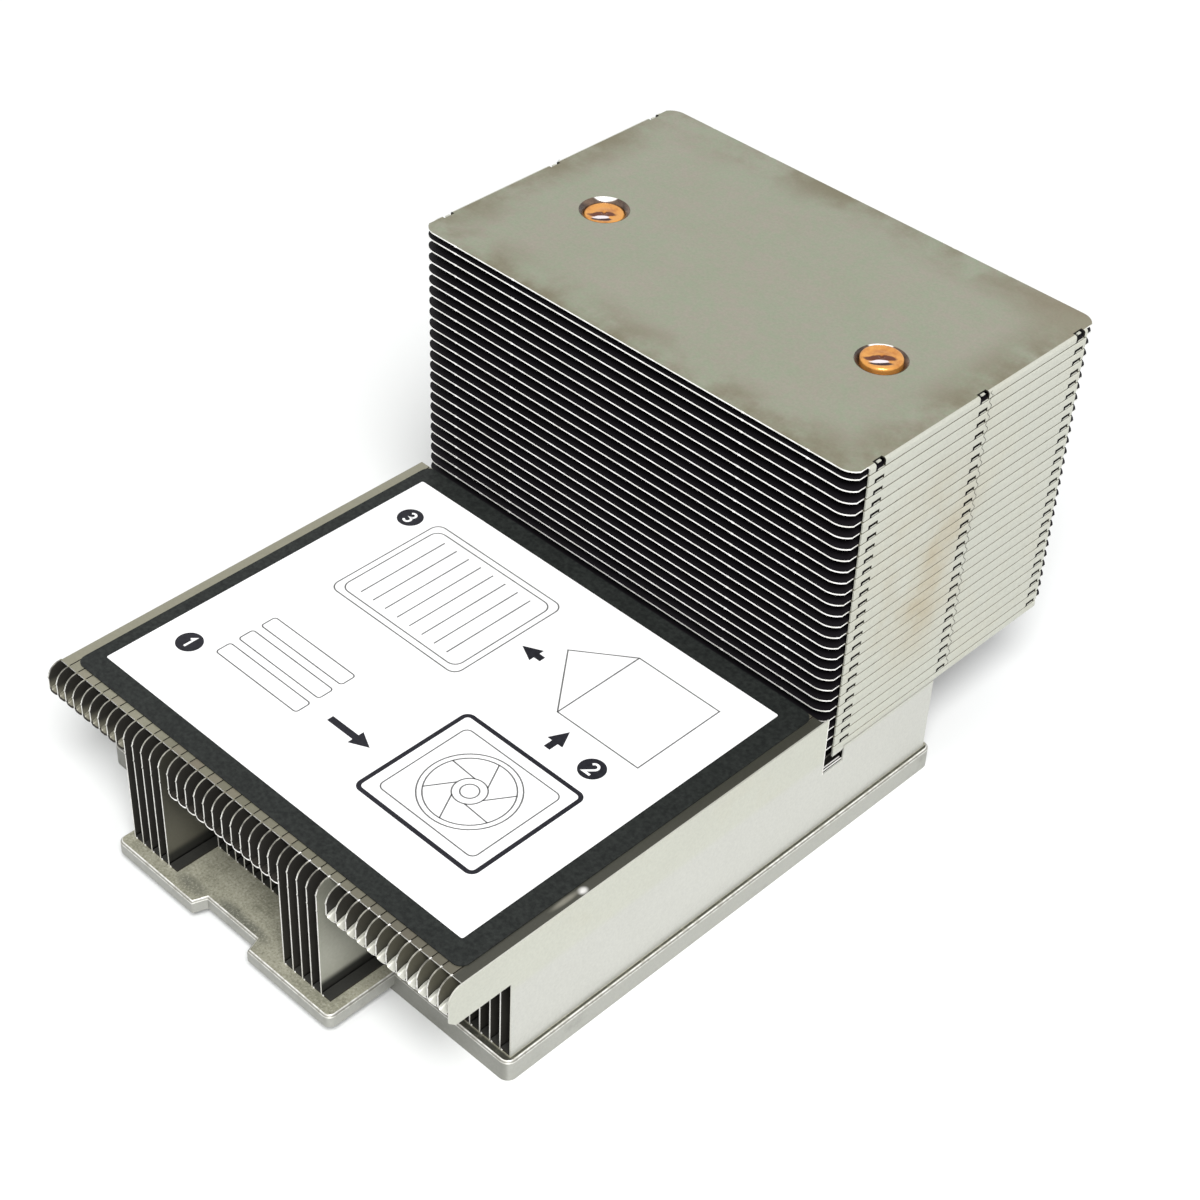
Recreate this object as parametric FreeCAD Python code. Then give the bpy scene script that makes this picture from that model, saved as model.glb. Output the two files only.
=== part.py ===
import FreeCAD, Part
import math
import os

# Passive server cpu heatsink: a flat base plate with a front tongue, a low block of upright
# folded fins, a tall rear tower of level folded fins and two bent heat pipes that join them.
# Frame: millimetres, +Z up, -Y towards the tongue, origin at the middle of the cpu contact face.

# --- folded sheet, used by every fin ---
SHEET = 0.3                    # thickness of the fin sheet

# --- base plate ---
BASE_WIDTH = 82.2
BASE_DEPTH = 86.0
BASE_THICKNESS = 3.6
BASE_CORNER_RADIUS = 1.5
BASE_EDGE_BEVEL = 0.35

# --- tongue in front of the base plate ---
TONGUE_WIDTH = 44.6
TONGUE_OFFSET = -2.6           # middle of the tongue, left of the middle of the base
TONGUE_REACH = 11.3
TONGUE_THICKNESS = 2.1
TONGUE_CORNER_RADIUS = 1.2
NOTCH_WIDTH = 11.7
NOTCH_FLOOR_WIDTH = 10.1
NOTCH_DEPTH = 2.1

# --- block of upright fins ---
BLOCK_WIDTH = 80.7
BLOCK_TOP = 24.0
BLOCK_NOSE_REACH = 9.2         # how far the noses stand out in front of the base plate
BLOCK_REAR_MARGIN = 1.2        # base plate left bare behind the fins
BLOCK_FIN_COUNT = 44           # the last one is the plain end sheet
NOSE_TOP_RADIUS = 2.0
NOSE_UNDER_BEVEL = 1.1
OVERHANG_HEIGHT = 17.5         # underside of the noses of the short fins
OUTER_LEG_SETBACK = 10.5       # from the nose back to the leg, outer groups
MIDDLE_LEG_SETBACK = 7.1       # the same, middle group
TOP_FLANGE_SETBACK = 2.3       # from the nose back to the top flange
LONG_FIRST = (9, 26)           # first fin of each group that reaches down to the tongue
LONG_RUN = 5                   # fins in each of those groups
RELIEF_WIDTH = 4.3             # slot across the fins under the front edge of the tower
RELIEF_FLOOR = 13.75
END_SHEET_REACH = 0.8          # the end sheet runs this much further back beside the tower
SHORT_FINS_PER_NODE = 2        # short fins come in locked pairs

# --- tower of level fins ---
TOWER_WIDTH = 80.3
TOWER_DEPTH = 51.7
TOWER_FRONT = 16.95            # Y of the front edge of the tower
TOWER_FOOT = 16.4              # lowest flange edge, which stands on the rear of the block
TOWER_FIN_COUNT = 27
TOWER_FIN_PITCH = 1.863
TOWER_CAP_PITCH = 1.2          # the top fin sits closer to its neighbour
TOWER_FOOT_FLANGE = 0.97       # flange height of the lowest fin
TOWER_CORNER_RADIUS = 2.75
TOWER_GAP = 0.3                # clearance between the block fins and the tower

# --- zipper locks in the side flanges of the tower ---
LOCK_INSETS = (4.9, 26.2, 47.4)  # middle of each lock, from the front edge
LOCK_LENGTH = 2.4
LOCK_HEIGHT = 0.7
CAP_NOTCH_DEPTH = 0.5          # the locks of the top fin open this far into its plate

# --- heat pipes ---
PIPE_RADIUS = 3.0
PIPE_SPACING = 51.4
PIPE_FROM_TOWER_FRONT = 22.45
PIPE_BEND_RADIUS = 10.0
PIPE_GROOVE_DEPTH = 2.1        # how deep the level run lies in the base plate
PIPE_LEVEL_RUN = 50.0          # straight run along the base plate
PIPE_SHOULDER_BEVEL = 0.6
PIPE_FIN_CLEARANCE = 0.05      # soldered fit in the fins and in the groove
PIPE_LANE_CLEARANCE = 0.4      # room round the pipe in the upright fins
PIPE_MOUTH_CLEARANCE = 0.65    # wider collared hole in the top fin
PIPE_MOUTH_DEPTH = 0.9
PIPE_TIPS = {"left": -0.5, "right": 0.5}   # end of each pipe above the top fin

# --- label on the block ---
LABEL_WIDTH = 77.0
LABEL_FRONT_SETBACK = 3.55     # from the noses back to the label
LABEL_REAR_GAP = 0.35          # from the label to the tower
LABEL_THICKNESS = 0.2
LABEL_CORNER_RADIUS = 1.5

# --- flats that stand for a round stretch where it repeats many times or is hidden ---
NOSE_FLATS = 3
FIN_CORNER_FLATS = 3
PIPE_HOLE_SIDES = 8
PIPE_BEND_SIDES = 12           # the bend of each pipe, hidden between the fins

# --- sizes worked out from the ones above ---
NOSE_Y = -BASE_DEPTH / 2 - BLOCK_NOSE_REACH
BLOCK_REAR = BASE_DEPTH / 2 - BLOCK_REAR_MARGIN
BLOCK_PITCH = (BLOCK_WIDTH - SHEET) / (BLOCK_FIN_COUNT - 1)
BLOCK_REAR_TOP = TOWER_FOOT
BLOCK_TOP_REAR = TOWER_FRONT - TOWER_GAP
RELIEF_REAR = TOWER_FRONT + END_SHEET_REACH + RELIEF_WIDTH
PIPE_Y = TOWER_FRONT + PIPE_FROM_TOWER_FRONT
PIPE_AXIS_Z = BASE_THICKNESS - PIPE_GROOVE_DEPTH + PIPE_RADIUS
PIPE_BEND_Y = PIPE_Y - PIPE_BEND_RADIUS
PIPE_BEND_Z = PIPE_AXIS_Z + PIPE_BEND_RADIUS
PIPE_FRONT = PIPE_BEND_Y - PIPE_LEVEL_RUN
LANE_HALF = PIPE_RADIUS + PIPE_LANE_CLEARANCE
LAST_FIN = BLOCK_FIN_COUNT - 1


def vec(x, y, z):
    return FreeCAD.Vector(x, y, z)


def box(x0, x1, y0, y1, z0, z1):
    """Box between two opposite corners."""
    return Part.makeBox(x1 - x0, y1 - y0, z1 - z0, vec(x0, y0, z0))


def rounded_plate(x0, x1, y0, y1, z0, z1, radius):
    """Level plate whose four upright edges are rounded."""
    plate = box(x0, x1, y0, y1, z0, z1)
    upright = [e for e in plate.Edges if abs(e.BoundBox.ZLength - (z1 - z0)) < 1e-6]
    return plate.makeFillet(radius, upright)


def quarter_turn(centre_a, centre_b, radius, start, flats):
    """Points along a quarter circle in a plane, counter-clockwise from an angle in degrees."""
    angles = [math.radians(start + 90.0 * step / flats) for step in range(flats + 1)]
    return [(centre_a + radius * math.cos(a), centre_b + radius * math.sin(a)) for a in angles]


def closed_face(points):
    """Flat face inside a ring of points."""
    return Part.Face(Part.makePolygon(points + points[:1]))


def save(shape, name):
    shape.removeSplitter().exportStep("parts/" + name + ".step")


# --- base plate with tongue ---

def tongue_span():
    """Left and right side of the tongue."""
    return TONGUE_OFFSET - TONGUE_WIDTH / 2, TONGUE_OFFSET + TONGUE_WIDTH / 2


def notch_cutter():
    """Shallow tapered bite in the middle of the tongue's front edge."""
    front = -BASE_DEPTH / 2 - TONGUE_REACH
    corners = [
        vec(TONGUE_OFFSET - NOTCH_WIDTH / 2, front, 0),
        vec(TONGUE_OFFSET - NOTCH_FLOOR_WIDTH / 2, front + NOTCH_DEPTH, 0),
        vec(TONGUE_OFFSET + NOTCH_FLOOR_WIDTH / 2, front + NOTCH_DEPTH, 0),
        vec(TONGUE_OFFSET + NOTCH_WIDTH / 2, front, 0),
    ]
    return closed_face(corners).extrude(vec(0, 0, BASE_THICKNESS))


def pipe_groove(pipe_x):
    """Round-bottomed channel that runs out at the rear edge of the base plate."""
    radius = PIPE_RADIUS + PIPE_FIN_CLEARANCE
    length = BASE_DEPTH / 2 - PIPE_FRONT + PIPE_LANE_CLEARANCE
    start = vec(pipe_x, PIPE_FRONT - PIPE_LANE_CLEARANCE, PIPE_AXIS_Z)
    return Part.makeCylinder(radius, length, start, vec(0, 1, 0))


def base_plate():
    half_width = BASE_WIDTH / 2
    half_depth = BASE_DEPTH / 2
    plate = rounded_plate(-half_width, half_width, -half_depth, half_depth,
                          0, BASE_THICKNESS, BASE_CORNER_RADIUS)
    left, right = tongue_span()
    tongue = rounded_plate(left, right, -half_depth - TONGUE_REACH, -half_depth + TONGUE_REACH,
                           BASE_THICKNESS - TONGUE_THICKNESS, BASE_THICKNESS,
                           TONGUE_CORNER_RADIUS)
    body = plate.fuse(tongue).removeSplitter().cut(notch_cutter())
    rim = [e for e in body.Edges
           if e.BoundBox.ZMin > BASE_THICKNESS - 1e-6]
    body = body.makeChamfer(BASE_EDGE_BEVEL, rim)
    for pipe_x in pipe_positions().values():
        body = body.cut(pipe_groove(pipe_x))
    return body


# --- heat pipes ---

def pipe_positions():
    return {"left": -PIPE_SPACING / 2, "right": PIPE_SPACING / 2}


def heat_pipe(side):
    """Round pipe: level run in the base plate, one bend and an upright run through the tower."""
    pipe_x = pipe_positions()[side]
    tip_z = tower_top() + PIPE_TIPS[side]
    bend_foot = vec(pipe_x, PIPE_BEND_Y, PIPE_AXIS_Z)
    level_run = Part.makeCylinder(PIPE_RADIUS, PIPE_LEVEL_RUN, bend_foot, vec(0, -1, 0))
    turns = [math.tau * corner / PIPE_BEND_SIDES for corner in range(PIPE_BEND_SIDES)]
    ring = [bend_foot + vec(PIPE_RADIUS * math.cos(a), 0, PIPE_RADIUS * math.sin(a))
            for a in turns]
    bend_centre = vec(pipe_x, PIPE_BEND_Y, PIPE_BEND_Z)
    bend = closed_face(ring).revolve(bend_centre, vec(1, 0, 0), 90)
    upright_run = Part.makeCylinder(PIPE_RADIUS, tip_z - PIPE_BEND_Z,
                                    vec(pipe_x, PIPE_Y, PIPE_BEND_Z))
    shoulder = [e for e in upright_run.Edges
                if e.BoundBox.ZMin > tip_z - 1e-3 and e.BoundBox.ZLength < 1e-3]
    upright_run = upright_run.makeChamfer(PIPE_SHOULDER_BEVEL, shoulder)
    return level_run.fuse([bend, upright_run])


# --- block of upright fins ---

def fin_x(index):
    return -BLOCK_WIDTH / 2 + index * BLOCK_PITCH


def is_long(index):
    return any(first <= index < first + LONG_RUN for first in LONG_FIRST)


def leg_setback(index):
    """Distance from the nose back to the leg of one fin."""
    if is_long(index):
        return 0.0
    if LONG_FIRST[0] < index < LONG_FIRST[1]:
        return MIDDLE_LEG_SETBACK
    return OUTER_LEG_SETBACK


def in_pipe_lane(index):
    """True when a heat pipe passes through the space of one fin."""
    left = fin_x(index)
    right = left + BLOCK_PITCH
    return any(left < x + LANE_HALF and right > x - LANE_HALF
               for x in pipe_positions().values())


def fin_outline(setback, top_rear):
    """Side view of an upright fin: nose rounded at the top and bevelled below."""
    front = [(NOSE_Y, BASE_THICKNESS)]
    if setback > 0:
        front = [
            (NOSE_Y + setback, BASE_THICKNESS),
            (NOSE_Y + setback, OVERHANG_HEIGHT),
            (NOSE_Y + NOSE_UNDER_BEVEL, OVERHANG_HEIGHT),
            (NOSE_Y, OVERHANG_HEIGHT + NOSE_UNDER_BEVEL),
        ]
    nose = quarter_turn(NOSE_Y + NOSE_TOP_RADIUS, BLOCK_TOP - NOSE_TOP_RADIUS,
                        NOSE_TOP_RADIUS, 90, NOSE_FLATS)
    rear = [
        (top_rear, BLOCK_TOP),
        (top_rear, RELIEF_FLOOR),
        (RELIEF_REAR, RELIEF_FLOOR),
        (RELIEF_REAR, BLOCK_REAR_TOP),
        (BLOCK_REAR, BLOCK_REAR_TOP),
        (BLOCK_REAR, BASE_THICKNESS),
    ]
    return [vec(0, y, z) for y, z in front + nose[::-1] + rear]


def fin_sheet(setback, top_rear=BLOCK_TOP_REAR):
    """Flat sheet of one upright fin."""
    return closed_face(fin_outline(setback, top_rear)).extrude(vec(SHEET, 0, 0))


def flange(y0, y1, z0):
    """Level strip folded from a fin, reaching to the next fin."""
    return box(SHEET, BLOCK_PITCH, y0, y1, z0, z0 + SHEET)


def under_flange(setback):
    """Flange under the nose of a short fin, turned up along its bevelled lower corner."""
    leg = NOSE_Y + setback
    bend = SHEET * math.tan(math.pi / 8)
    corners = [
        vec(SHEET, NOSE_Y, OVERHANG_HEIGHT + NOSE_UNDER_BEVEL),
        vec(SHEET, NOSE_Y + NOSE_UNDER_BEVEL, OVERHANG_HEIGHT),
        vec(SHEET, leg, OVERHANG_HEIGHT),
        vec(SHEET, leg, OVERHANG_HEIGHT + SHEET),
        vec(SHEET, NOSE_Y + NOSE_UNDER_BEVEL + bend, OVERHANG_HEIGHT + SHEET),
        vec(SHEET, NOSE_Y + SHEET, OVERHANG_HEIGHT + NOSE_UNDER_BEVEL + bend),
        vec(SHEET, NOSE_Y, OVERHANG_HEIGHT + NOSE_UNDER_BEVEL + bend),
    ]
    return closed_face(corners).extrude(vec(BLOCK_PITCH - SHEET, 0, 0))


def pipe_lane():
    """Space that an upright fin leaves free for a heat pipe and its bend."""
    reach = BLOCK_REAR + BLOCK_PITCH
    inner_radius = PIPE_BEND_RADIUS - LANE_HALF
    low = box(0, BLOCK_PITCH, PIPE_FRONT - PIPE_LANE_CLEARANCE, reach,
              0, PIPE_AXIS_Z + LANE_HALF)
    rear = box(0, BLOCK_PITCH, PIPE_Y - LANE_HALF, reach, 0, BLOCK_TOP)
    corner = box(0, BLOCK_PITCH, PIPE_BEND_Y, reach, 0, PIPE_BEND_Z)
    web = Part.makeCylinder(inner_radius, BLOCK_PITCH,
                            vec(0, PIPE_BEND_Y, PIPE_BEND_Z), vec(1, 0, 0))
    return low.fuse(rear).fuse(corner.cut(web))


def upright_fin(index):
    """One fin of the block: a sheet with flanges folded along its top and bottom edges."""
    setback = leg_setback(index)
    fin = fin_sheet(setback)
    strips = [
        flange(NOSE_Y + TOP_FLANGE_SETBACK, BLOCK_TOP_REAR, BLOCK_TOP - SHEET),
        flange(NOSE_Y + setback, BLOCK_REAR, BASE_THICKNESS),
        flange(RELIEF_REAR, BLOCK_REAR, BLOCK_REAR_TOP - SHEET),
    ]
    if setback > 0:
        strips.append(under_flange(setback))
    fin = fin.fuse(strips)
    if in_pipe_lane(index):
        fin = fin.cut(pipe_lane())
    fin.translate(vec(fin_x(index), 0, 0))
    return fin


def end_sheet():
    """Plain last sheet of the block, which closes its right side."""
    sheet = fin_sheet(OUTER_LEG_SETBACK, TOWER_FRONT + END_SHEET_REACH)
    sheet.translate(vec(fin_x(LAST_FIN), 0, 0))
    return sheet


def short_runs():
    """Runs of neighbouring short fins, cut into locked groups."""
    groups = []
    for index in range(LAST_FIN):
        if is_long(index):
            continue
        joins = groups and groups[-1][-1] == index - 1
        if joins and len(groups[-1]) < SHORT_FINS_PER_NODE:
            groups[-1].append(index)
        else:
            groups.append([index])
    return groups


def save_block():
    for number, group in enumerate(short_runs(), 1):
        fins = [upright_fin(index) for index in group]
        shape = fins[0].fuse(fins[1:]) if len(fins) > 1 else fins[0]
        save(shape, "short_fins_%02d" % number)
    long_fins = [index for index in range(LAST_FIN) if is_long(index)]
    for number, index in enumerate(long_fins, 1):
        save(upright_fin(index), "long_fin_%02d" % number)
    save(end_sheet(), "end_sheet")


# --- tower of level fins ---

def tower_fin_heights():
    """Top face of every tower fin, from the lowest up."""
    lowest = TOWER_FOOT + TOWER_FOOT_FLANGE + SHEET
    heights = [lowest + index * TOWER_FIN_PITCH for index in range(TOWER_FIN_COUNT - 1)]
    return heights + [heights[-1] + TOWER_CAP_PITCH]


def tower_top():
    return tower_fin_heights()[-1]


def lock_slots(side, depth, z0, z1):
    """Cutters for the locks of one side, as deep as asked from the side face."""
    x0, x1 = sorted((side * TOWER_WIDTH / 2, side * (TOWER_WIDTH / 2 - depth)))
    starts = [TOWER_FRONT + inset - LOCK_LENGTH / 2 for inset in LOCK_INSETS]
    return [box(x0, x1, start, start + LOCK_LENGTH, z0, z1) for start in starts]


def side_flange(side, top, foot):
    """Flange folded down along one side of a tower fin; only the lowest has no locks."""
    x0, x1 = sorted((side * TOWER_WIDTH / 2, side * (TOWER_WIDTH / 2 - SHEET)))
    y0 = TOWER_FRONT + TOWER_CORNER_RADIUS
    y1 = TOWER_FRONT + TOWER_DEPTH - TOWER_CORNER_RADIUS
    strip = box(x0, x1, y0, y1, foot, top - SHEET)
    if foot > TOWER_FOOT:
        strip = strip.cut(lock_slots(side, SHEET, foot, foot + LOCK_HEIGHT))
    return strip


def pipe_hole(pipe_x, top):
    """Cutter for a pipe hole, a regular polygon whose flats touch the soldered fit."""
    half_turn = math.pi / PIPE_HOLE_SIDES
    reach = (PIPE_RADIUS + PIPE_FIN_CLEARANCE) / math.cos(half_turn)
    angles = [half_turn * (2 * side + 1) for side in range(PIPE_HOLE_SIDES)]
    corners = [vec(pipe_x + reach * math.cos(a), PIPE_Y + reach * math.sin(a), top - SHEET)
               for a in angles]
    return closed_face(corners).extrude(vec(0, 0, SHEET))


def tower_plate(top):
    """Level sheet of an inner tower fin, its corners rounded in a few flats."""
    right = TOWER_WIDTH / 2 - TOWER_CORNER_RADIUS
    front = TOWER_FRONT + TOWER_CORNER_RADIUS
    rear = TOWER_FRONT + TOWER_DEPTH - TOWER_CORNER_RADIUS
    centres = [(right, rear), (-right, rear), (-right, front), (right, front)]
    corners = []
    for quarter, (x, y) in enumerate(centres):
        corners += quarter_turn(x, y, TOWER_CORNER_RADIUS, 90 * quarter, FIN_CORNER_FLATS)
    outline = [vec(x, y, top - SHEET) for x, y in corners]
    return closed_face(outline).extrude(vec(0, 0, SHEET))


def tower_fin(top, foot):
    """Inner fin of the tower, with two pipe holes and a flange down each side."""
    fin = tower_plate(top)
    for pipe_x in pipe_positions().values():
        fin = fin.cut(pipe_hole(pipe_x, top))
    return fin.fuse([side_flange(-1, top, foot), side_flange(1, top, foot)])


def top_fin(top, foot):
    """Top fin: locks open through its fold, and a round collar is drawn down round each pipe."""
    half = TOWER_WIDTH / 2
    mouth = PIPE_RADIUS + PIPE_MOUTH_CLEARANCE
    fin = rounded_plate(-half, half, TOWER_FRONT, TOWER_FRONT + TOWER_DEPTH,
                        top - SHEET, top, TOWER_CORNER_RADIUS)
    for side in (-1, 1):
        fin = fin.fuse(side_flange(side, top, foot))
        fin = fin.cut(lock_slots(side, CAP_NOTCH_DEPTH, foot, top))
    for pipe_x in pipe_positions().values():
        collar_foot = vec(pipe_x, PIPE_Y, top - PIPE_MOUTH_DEPTH)
        fin = fin.fuse(Part.makeCylinder(mouth + SHEET, PIPE_MOUTH_DEPTH, collar_foot))
        fin = fin.cut(Part.makeCylinder(mouth, PIPE_MOUTH_DEPTH, collar_foot))
    return fin


def save_tower():
    heights = tower_fin_heights()
    feet = [TOWER_FOOT] + heights[:-1]
    for number, (top, foot) in enumerate(zip(heights, feet), 1):
        make = top_fin if number == TOWER_FIN_COUNT else tower_fin
        save(make(top, foot), "tower_fin_%02d" % number)


# --- label ---

def label():
    """Thin printed sheet stuck on the top flanges of the block."""
    return rounded_plate(-LABEL_WIDTH / 2, LABEL_WIDTH / 2,
                         NOSE_Y + LABEL_FRONT_SETBACK, TOWER_FRONT - LABEL_REAR_GAP,
                         BLOCK_TOP, BLOCK_TOP + LABEL_THICKNESS, LABEL_CORNER_RADIUS)


os.makedirs("parts", exist_ok=True)
save(base_plate(), "base_plate")
for pipe_side in pipe_positions():
    save(heat_pipe(pipe_side), "heat_pipe_" + pipe_side)
save_block()
save_tower()
save(label(), "label")
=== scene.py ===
import math

import bmesh
import bpy
from mathutils import Matrix, Vector


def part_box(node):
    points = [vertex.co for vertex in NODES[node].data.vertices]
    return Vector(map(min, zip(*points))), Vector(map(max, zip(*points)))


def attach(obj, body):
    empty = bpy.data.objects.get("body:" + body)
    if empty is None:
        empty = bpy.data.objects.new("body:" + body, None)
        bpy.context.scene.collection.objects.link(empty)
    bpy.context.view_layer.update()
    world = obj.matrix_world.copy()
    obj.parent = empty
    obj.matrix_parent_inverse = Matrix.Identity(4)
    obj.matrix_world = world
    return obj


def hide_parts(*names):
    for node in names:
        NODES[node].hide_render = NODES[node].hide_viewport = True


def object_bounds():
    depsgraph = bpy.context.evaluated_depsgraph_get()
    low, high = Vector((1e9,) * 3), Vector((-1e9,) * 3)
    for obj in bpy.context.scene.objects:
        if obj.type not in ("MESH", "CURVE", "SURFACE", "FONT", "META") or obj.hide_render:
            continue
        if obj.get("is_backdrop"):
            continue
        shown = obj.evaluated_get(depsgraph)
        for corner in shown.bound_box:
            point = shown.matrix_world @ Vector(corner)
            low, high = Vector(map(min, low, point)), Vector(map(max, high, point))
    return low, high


# Looks of a passive server cpu heatsink, in the frame of the CAD part: +Z up, -Y towards the tongue,
# origin at the middle of the base plate's underside. Lengths are in metres where no comment or
# docstring says millimetres.

MM = 0.001


def mm(*lengths):
    """Lengths in metres, given in millimetres."""
    return tuple(length * MM for length in lengths)


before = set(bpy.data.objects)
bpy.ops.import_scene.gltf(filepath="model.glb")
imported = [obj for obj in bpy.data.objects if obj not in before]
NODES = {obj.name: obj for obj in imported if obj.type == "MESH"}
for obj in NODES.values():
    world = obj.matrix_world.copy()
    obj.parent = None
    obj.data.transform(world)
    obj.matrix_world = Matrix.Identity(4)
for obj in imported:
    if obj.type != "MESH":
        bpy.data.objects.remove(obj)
CAD_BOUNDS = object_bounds()

# --- folded sheet ---
SHEET = 0.22 * MM
BEND_RADIUS = 0.4 * MM  # folds of the tower
FLANGE_BEND = 0.28 * MM  # folds of the block
SEAM_GAP = 0.1 * MM  # open slit under each folded edge of the tower
ARC_STEPS = 8

# --- tower of level fins ---
TOWER_CORNER_RADIUS = 2.75 * MM
TOWER_FOLD_STEPS = 5
FLAT_STEPS = 6  # spans of a plate from its rounded corner to its fold
SHADED_SPANS = 3  # upper spans of that fold, painted as shade in the joint under the fin above
LOCK_INSETS = mm(4.9, 26.2, 47.4)
LOCK_LENGTH = 1.9 * MM
LOCK_HEIGHT = 0.68 * MM
# forms on the side walls, as (place behind, height), and between which depths inside the wall
LOCK_TAB = (mm(0.45, 0), mm(1.85, 0), mm(1.65, 0.17), mm(0.65, 0.17))  # tongue hooked into a lock
LOCK_TAB_DEPTHS = mm(0.02, 0.08)
CAP_TAB = (mm(0.55, -0.3), mm(1.3, -0.3), mm(1.3, -0.12), mm(0.55, -0.12))  # burr in a top notch
CAP_TAB_DEPTHS = mm(0.3, 0.62)
TICK = (mm(0, -0.02), mm(0.42, -0.02), mm(0.36, 0.17), mm(0.08, 0.17))  # dark dash on the seam
TICK_DEPTHS = mm(-0.005, 0.3)
TICK_BEHIND = 3.4 * MM  # behind the front lock
TICK_BEFORE = 3.2 * MM  # before the rear lock
# the lowest side wall's front, which reaches down into the relief slot
HANGING = (mm(0, -0.6), mm(1.9, -0.6), mm(2.33, -0.4), (2.33 * MM, SEAM_GAP), (0.0, SEAM_GAP))
FRONT_NUBS = mm(-32.9, -21.35, 21.1, 32.2)
REAR_NUBS = mm(-31.15, -19.6, -3.6, 14.9, 24.6)
PLATE_NUB = mm(0.3, 0.06)  # half length and reach of a burr on a level fin
PLATE_NUB_RISE = 0.05 * MM
WAVE_BEHIND = 0.55 * MM  # wavy joint behind the middle lock
WAVE_REACH = 0.30 * MM
WAVE_HALF_WIDTH = 0.055 * MM
WAVE_STEPS = 8
WAVE_PROUD = 0.004 * MM  # how far it stands off the side wall

# --- block of upright fins ---
BLOCK_FOLD_STEPS = 4
NOSE_TOP_RADIUS = 2.1 * MM
LIP_REACH = 1.6 * MM  # the lip under each nose droops over this depth
OUTER_LIP = mm(19.7, 20.15)  # height of its rim and of its floor, outer fins
MIDDLE_LIP = mm(18.15, 18.15)  # and middle fins
LIP_FOLD = 0.5 * MM  # radius of the fold beside the sheet that carries it
LIP_RISE = 0.35 * MM  # how far the rim rises again to the next sheet
LIP_STEPS = 8
OVERHANG_HEIGHT = 17.5 * MM  # underside of the end sheet's nose
UNDER_BEVEL = 1.1 * MM
RELIEF_FLOOR = 13.75 * MM
RELIEF_REAR = 5.1 * MM  # rear of the relief slot, behind the front of the tower
LEDGE_SETBACK = 0.35 * MM  # bright ledge in the relief slot, behind the slot's front
LEDGE_HEIGHTS = mm(0.2, 0.3)  # over the slot's floor
LEDGE_WIDTH = 0.14 * MM
LEDGE_PITCH = 0.36 * MM
TOP_FLANGE_SETBACK = 2.3 * MM
TOP_FLANGE_GAP = 0.3 * MM
TILE_CORNER = 0.16 * MM  # bright corner of each sheet that shows beside its tile
END_SHEET_REACH = 0.8 * MM  # of the end sheet's upper part, past the front of the tower
END_RIM_WIDTH = 0.13 * MM  # bright rim at that edge
END_RIM_PROUD = 0.02 * MM
FOOT_OVERLAP = 0.02 * MM  # the foot flanges start this far behind the front of their legs
FOOT_DOT = 0.2 * MM  # bright front corner of each foot flange
NUB_HEIGHTS = mm(22.1, 19.4)
NUB_HALF = 0.22 * MM
NUB_REACH = 0.08 * MM
OUTER_LEG_SETBACK = 10.5 * MM
MIDDLE_LEG_SETBACK = 7.1 * MM
LONG_FIRST = (9, 26)
LONG_RUN = 5
FIN_COUNT = 44
PIPE_LANE = 3.4 * MM
LANE_REAR = 12.5 * MM  # fins over a pipe end this far in front of the block's rear

# --- heat pipes ---
PIPE_SIDES = ("left", "right")
PIPE_BEND = 10.0 * MM
PIPE_SEGMENTS = 48
MOUTH_SEGMENTS = 64
MOUTH_CLEARANCE = 0.65 * MM
MOUTH_DEPTH = 4.0 * MM
PIPE_SHOULDER = 0.4 * MM
SHOULDER_ANGLES = (0, 22, 45, 68, 90)
# closed end of a pipe, as (share of its radius, height in millimetres): groove, dome, pinched pip
PIPE_DOME = ((0.68, -0.1), (0.58, -0.14), (0.4, -0.03), (0.2, 0.0), (0.12, -0.02), (0.08, -0.16),
             (0.03, -0.2), (0.0, -0.2))
# collar in the top fin, as (place past its mouth, height): rolled lip, funnel and wall
COLLAR_SHAPE = (mm(0.08, -0.01), mm(0.03, 0.02), mm(-0.05, -0.04),
                mm(-0.32, -0.28), mm(-0.61, -0.52), mm(-0.62, -1))

# --- printed label ---
LABEL_CORNER = 1.5 * MM
FIELD_CORNER = 0.3 * MM
FIELD_MARGINS = mm(2.2, 3.5, 3.5, 3.3)  # left, right, front, rear
PRINT_HEIGHT = 0.012 * MM  # each printed layer lies this much above the one below
LINE_WIDTH = 0.22 * MM
MITRE_LIMIT = 0.4  # smallest cosine by which a line grows wider at a corner
ARROW_WIDTH = 1.1 * MM
ARROW_LENGTH = 2.6  # its head, in widths
ARROW_SPREAD = 1.3  # half the head's width, in widths
DISC_RADIUS = 2.0 * MM
DIGIT_SIZE = 2.1 * MM
DIGIT_WIDTH = 0.38 * MM

# --- view of the object, angles in degrees ---
CAMERA_PLACE = mm(182.31, -182.42, 246.63)
CAMERA_AZIMUTH = 42.79
CAMERA_ELEVATION = 39.88
CAMERA_ROLL = 2.66
CAMERA_LENS = 73.14  # in millimetres
CAMERA_CLIP = 10.0 * MM

# --- stage and light ---
FLOOR_HALF = 3.0
FLOOR_DROP = 0.02 * MM  # the floor lies this far under the base plate
FLOOR_COLOUR = (0.79, 0.80, 0.795)
GLOW_DISTANCES = (0.15, 0.9)  # the floor's glow grows between these distances
GLOW_STRENGTHS = (0.02, 0.9)
WORLD_STRENGTHS = (0.42, 1.0)  # as a light, and as it is seen
WHITE = (1.0, 1.0, 1.0)
KEY_PLACE = (0.84, -0.76, 1.60)
KEY_AIM = (0.0, 0.0, 0.02)
KEY_SIZE = 0.95
KEY_POWER = 47.5
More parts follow.
